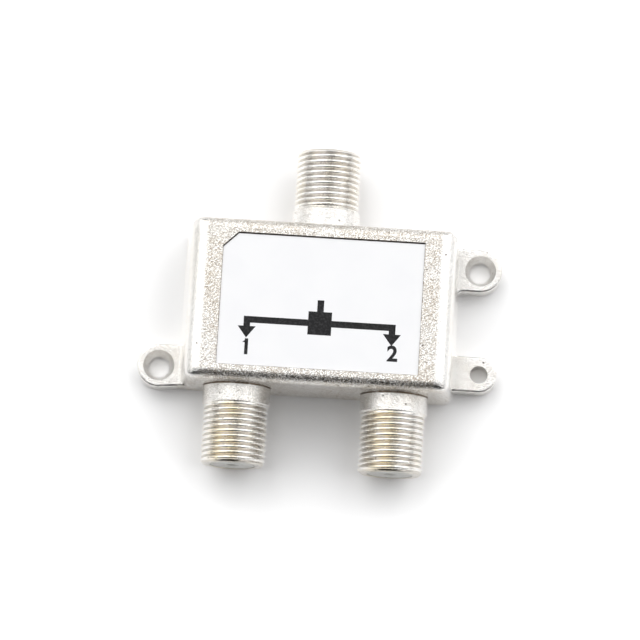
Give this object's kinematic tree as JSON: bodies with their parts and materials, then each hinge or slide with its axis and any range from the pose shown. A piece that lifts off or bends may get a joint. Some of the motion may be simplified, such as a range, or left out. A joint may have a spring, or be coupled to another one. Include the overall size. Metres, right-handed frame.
{
  "type": "coaxial splitter",
  "caption": "Die-cast coaxial signal splitter: a box with an input port on one side, output ports on the other, screw ears and a label recess in its face.",
  "frame": {"origin": "middle of the box on its back plane", "axes": "+X to the right seen from the face, +Y towards the input port, +Z from the back to the labelled face"},
  "size_m": [0.0526, 0.0468, 0.0124],
  "materials": {
    "cast_zinc": "nickel-plated zinc die casting with a pitted, grainy skin",
    "tinplate": "tinned sheet steel",
    "label_film": "white printed film",
    "board_laminate": "paper laminate with tinned tracks",
    "port_insulation": "moulded polyethylene",
    "spring_brass": "tinned spring brass",
    "ferrite": "fired ferrite",
    "enamelled_wire": "enamelled copper wire",
    "resistor_coating": "baked lacquer over ceramic",
    "disc_ceramic": "waxed ceramic disc",
    "tinned_wire": "tinned copper wire",
    "solder": "bright tin solder"
  },
  "bodies": {
    "root": {"housing": "cast_zinc", "back_cover": "tinplate", "label": "label_film", "circuit_board": "board_laminate", "input_insulator": "port_insulation", "left_output_insulator": "port_insulation", "right_output_insulator": "port_insulation", "input_contact": "spring_brass", "left_output_contact": "spring_brass", "right_output_contact": "spring_brass", "matching_core": "ferrite", "splitting_core": "ferrite", "matching_winding": "enamelled_wire", "splitting_winding": "enamelled_wire", "resistor_body": "resistor_coating", "resistor_leads": "tinned_wire", "input_capacitor": "disc_ceramic", "compensation_capacitor": "disc_ceramic", "left_output_capacitor": "disc_ceramic", "right_output_capacitor": "disc_ceramic", "input_capacitor_leads": "tinned_wire", "compensation_capacitor_leads": "tinned_wire", "left_output_capacitor_leads": "tinned_wire", "right_output_capacitor_leads": "tinned_wire", "solder_joints": "solder"}
  },
  "joints": []
}
